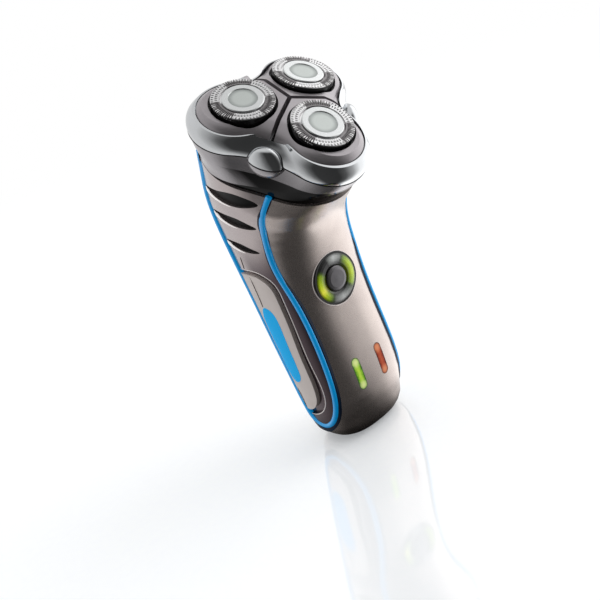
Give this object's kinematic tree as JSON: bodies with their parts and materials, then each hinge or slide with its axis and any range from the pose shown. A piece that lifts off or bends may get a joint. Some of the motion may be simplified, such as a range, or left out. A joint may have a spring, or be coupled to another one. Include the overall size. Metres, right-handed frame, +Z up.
{
  "type": "electric shaver",
  "caption": "Rotary electric shaver: tilted shaving unit with floating round guards on a slim grip with soft side pads, lit power button and pop-out trimmer.",
  "frame": {"origin": "centre of the charging inlet on the foot's flat underside", "axes": "+Z up along the handle, -Y towards the front with the power button, +X to the shaver's right as seen from the front"},
  "size_m": [0.0662, 0.0749, 0.1485],
  "materials": {
    "taupe_metallic": "satin metallic lacquer",
    "warm_grey_plastic": "fine satin moulding",
    "blue_gloss": "polished moulding",
    "light_grey_rubber": "soft-touch",
    "black_gloss": "polished",
    "dark_plastic": "moulded",
    "polished_chrome": "polished",
    "satin_grey": "satin",
    "guard_steel": "lapped",
    "cap_steel": "spun satin",
    "white_acetal": "moulded",
    "clear_light_ring": "translucent",
    "green_lens": "translucent",
    "orange_lens": "translucent",
    "circuit_green": "solder mask",
    "cell_wrap": "shrink wrap over steel can",
    "motor_can": "plated",
    "contact_metal": "plated",
    "led_body": "clear"
  },
  "bodies": {
    "handle": {"front_shell": "taupe_metallic", "back_shell": "taupe_metallic", "side_panel_left": "warm_grey_plastic", "side_panel_right": "warm_grey_plastic", "piping_left": "blue_gloss", "piping_right": "blue_gloss", "grip_pad_left": "light_grey_rubber", "grip_pad_right": "light_grey_rubber", "grip_insert_left": "blue_gloss", "grip_insert_right": "blue_gloss", "groove_inlays": "black_gloss", "collar": "satin_grey", "neck_band": "black_gloss", "drive_deck": "dark_plastic", "spindle_seals": "dark_plastic", "gear_carrier": "white_acetal", "motor": "motor_can", "chassis": "dark_plastic", "battery_cells": "cell_wrap", "battery_tabs": "contact_metal", "circuit_board": "circuit_green", "board_components": "dark_plastic", "status_leds": "led_body", "power_switch": "dark_plastic", "charge_window": "green_lens", "low_battery_window": "orange_lens", "button_bezel": "black_gloss", "button_light_ring": "clear_light_ring", "charging_socket": "dark_plastic", "socket_pins": "contact_metal", "shell_screws": "guard_steel", "trimmer_housing": "dark_plastic", "unit_hinge_pin": "guard_steel"},
    "power_button": {"power_button": "satin_grey"},
    "release_left": {"release_button_left": "satin_grey"},
    "release_right": {"release_button_right": "satin_grey"},
    "motor_shaft": {"motor_pinion": "white_acetal"},
    "shaving_unit": {"shaving_unit_frame": "polished_chrome", "retaining_frame": "white_acetal"},
    "retaining_wheel": {"retaining_wheel": "dark_plastic"},
    "trimmer": {"trimmer_cover": "taupe_metallic", "trimmer_comb": "guard_steel"},
    "trimmer_blade": {"trimmer_blade": "guard_steel"},
    "trimmer_slider": {"trimmer_slider": "dark_plastic"},
    "gear_front": {"drive_gear_front": "white_acetal"},
    "head_front": {"holder_front": "satin_grey", "guard_front": "guard_steel", "guard_cap_front": "cap_steel"},
    "cutter_front": {"cutter_front": "guard_steel"},
    "gear_left": {"drive_gear_left": "white_acetal"},
    "head_left": {"holder_left": "satin_grey", "guard_left": "guard_steel", "guard_cap_left": "cap_steel"},
    "cutter_left": {"cutter_left": "guard_steel"},
    "gear_right": {"drive_gear_right": "white_acetal"},
    "head_right": {"holder_right": "satin_grey", "guard_right": "guard_steel", "guard_cap_right": "cap_steel"},
    "cutter_right": {"cutter_right": "guard_steel"}
  },
  "joints": [
    {"name": "power_press", "type": "slide", "parent": "handle", "child": "power_button", "axis": [0, 1, 0], "range_m": [0, 0.0008], "stiffness_N_per_m": 500, "springref_m": -0.001},
    {"name": "release_left_press", "type": "slide", "parent": "handle", "child": "release_left", "axis": [0.866, 0.4045, 0.2939], "range_m": [0, 0.0012], "stiffness_N_per_m": 600, "springref_m": -0.001},
    {"name": "release_right_press", "type": "slide", "parent": "handle", "child": "release_right", "axis": [-0.866, 0.4045, 0.2939], "range_m": [0, 0.0012], "stiffness_N_per_m": 600, "springref_m": -0.001},
    {"name": "motor_spin", "type": "hinge", "parent": "handle", "child": "motor_shaft", "pos_m": [0, -0.00609, 0.12137], "axis": [0, -0.5878, 0.809], "continuous": true},
    {"name": "unit_flip", "type": "hinge", "parent": "handle", "child": "shaving_unit", "pos_m": [0, 0.01233, 0.14365], "axis": [-1, 0, 0], "range_deg": [0, 100]},
    {"name": "retaining_turn", "type": "hinge", "parent": "shaving_unit", "child": "retaining_wheel", "pos_m": [0, -0.01033, 0.1272], "axis": [0, -0.5878, 0.809], "range_deg": [0, 90]},
    {"name": "gear_front_spin", "type": "hinge", "parent": "handle", "child": "gear_front", "pos_m": [0, -0.01871, 0.1122], "axis": [0, -0.5878, 0.809], "continuous": true},
    {"name": "head_front_float", "type": "hinge", "parent": "shaving_unit", "child": "head_front", "pos_m": [0, -0.01833, 0.13226], "axis": [1, 0, 0], "range_deg": [0, 3.5], "stiffness_Nm_per_rad": 0.05, "springref_deg": -5.73},
    {"name": "cutter_front_spin", "type": "hinge", "parent": "head_front", "child": "cutter_front", "pos_m": [0, -0.03128, 0.12779], "axis": [0, -0.6743, 0.7385], "continuous": true},
    {"name": "gear_left_spin", "type": "hinge", "parent": "handle", "child": "gear_left", "pos_m": [-0.01351, 0.00022, 0.12595], "axis": [0, -0.5878, 0.809], "continuous": true},
    {"name": "head_left_float", "type": "hinge", "parent": "shaving_unit", "child": "head_left", "pos_m": [-0.00303, -0.01408, 0.13534], "axis": [-0.5, -0.7006, -0.509], "range_deg": [0, 3.5], "stiffness_Nm_per_rad": 0.05, "springref_deg": -5.73},
    {"name": "cutter_left_spin", "type": "hinge", "parent": "head_left", "child": "cutter_left", "pos_m": [-0.01438, -0.01114, 0.14243], "axis": [-0.0965, -0.539, 0.8367], "continuous": true},
    {"name": "gear_right_spin", "type": "hinge", "parent": "handle", "child": "gear_right", "pos_m": [0.01351, 0.00022, 0.12595], "axis": [0, -0.5878, 0.809], "continuous": true},
    {"name": "head_right_float", "type": "hinge", "parent": "shaving_unit", "child": "head_right", "pos_m": [0.00303, -0.01408, 0.13534], "axis": [-0.5, 0.7006, 0.509], "range_deg": [0, 3.5], "stiffness_Nm_per_rad": 0.05, "springref_deg": -5.73},
    {"name": "cutter_right_spin", "type": "hinge", "parent": "head_right", "child": "cutter_right", "pos_m": [0.01438, -0.01114, 0.14243], "axis": [0.0965, -0.539, 0.8367], "continuous": true},
    {"name": "trimmer_slide", "type": "slide", "parent": "handle", "child": "trimmer_slider", "axis": [0, -0.1702, -0.9854], "range_m": [0, 0.004]},
    {"name": "trimmer_swing", "type": "hinge", "parent": "handle", "child": "trimmer", "pos_m": [0, 0.0296, 0.1006], "axis": [-1, 0, 0], "range_deg": [0, 75]},
    {"name": "trimmer_blade_slide", "type": "slide", "parent": "trimmer", "child": "trimmer_blade", "axis": [1, 0, 0], "range_m": [-0.0008, 0.0008]}
  ],
  "couplings": [
    {"joint": "gear_front_spin", "follows": "motor_spin", "ratio": -0.33333},
    {"joint": "cutter_front_spin", "follows": "motor_spin", "ratio": -0.33333},
    {"joint": "gear_left_spin", "follows": "motor_spin", "ratio": -0.33333},
    {"joint": "cutter_left_spin", "follows": "motor_spin", "ratio": -0.33333},
    {"joint": "gear_right_spin", "follows": "motor_spin", "ratio": -0.33333},
    {"joint": "cutter_right_spin", "follows": "motor_spin", "ratio": -0.33333},
    {"joint": "trimmer_swing", "follows": "trimmer_slide", "rad_per_m": 327.22}
  ]
}
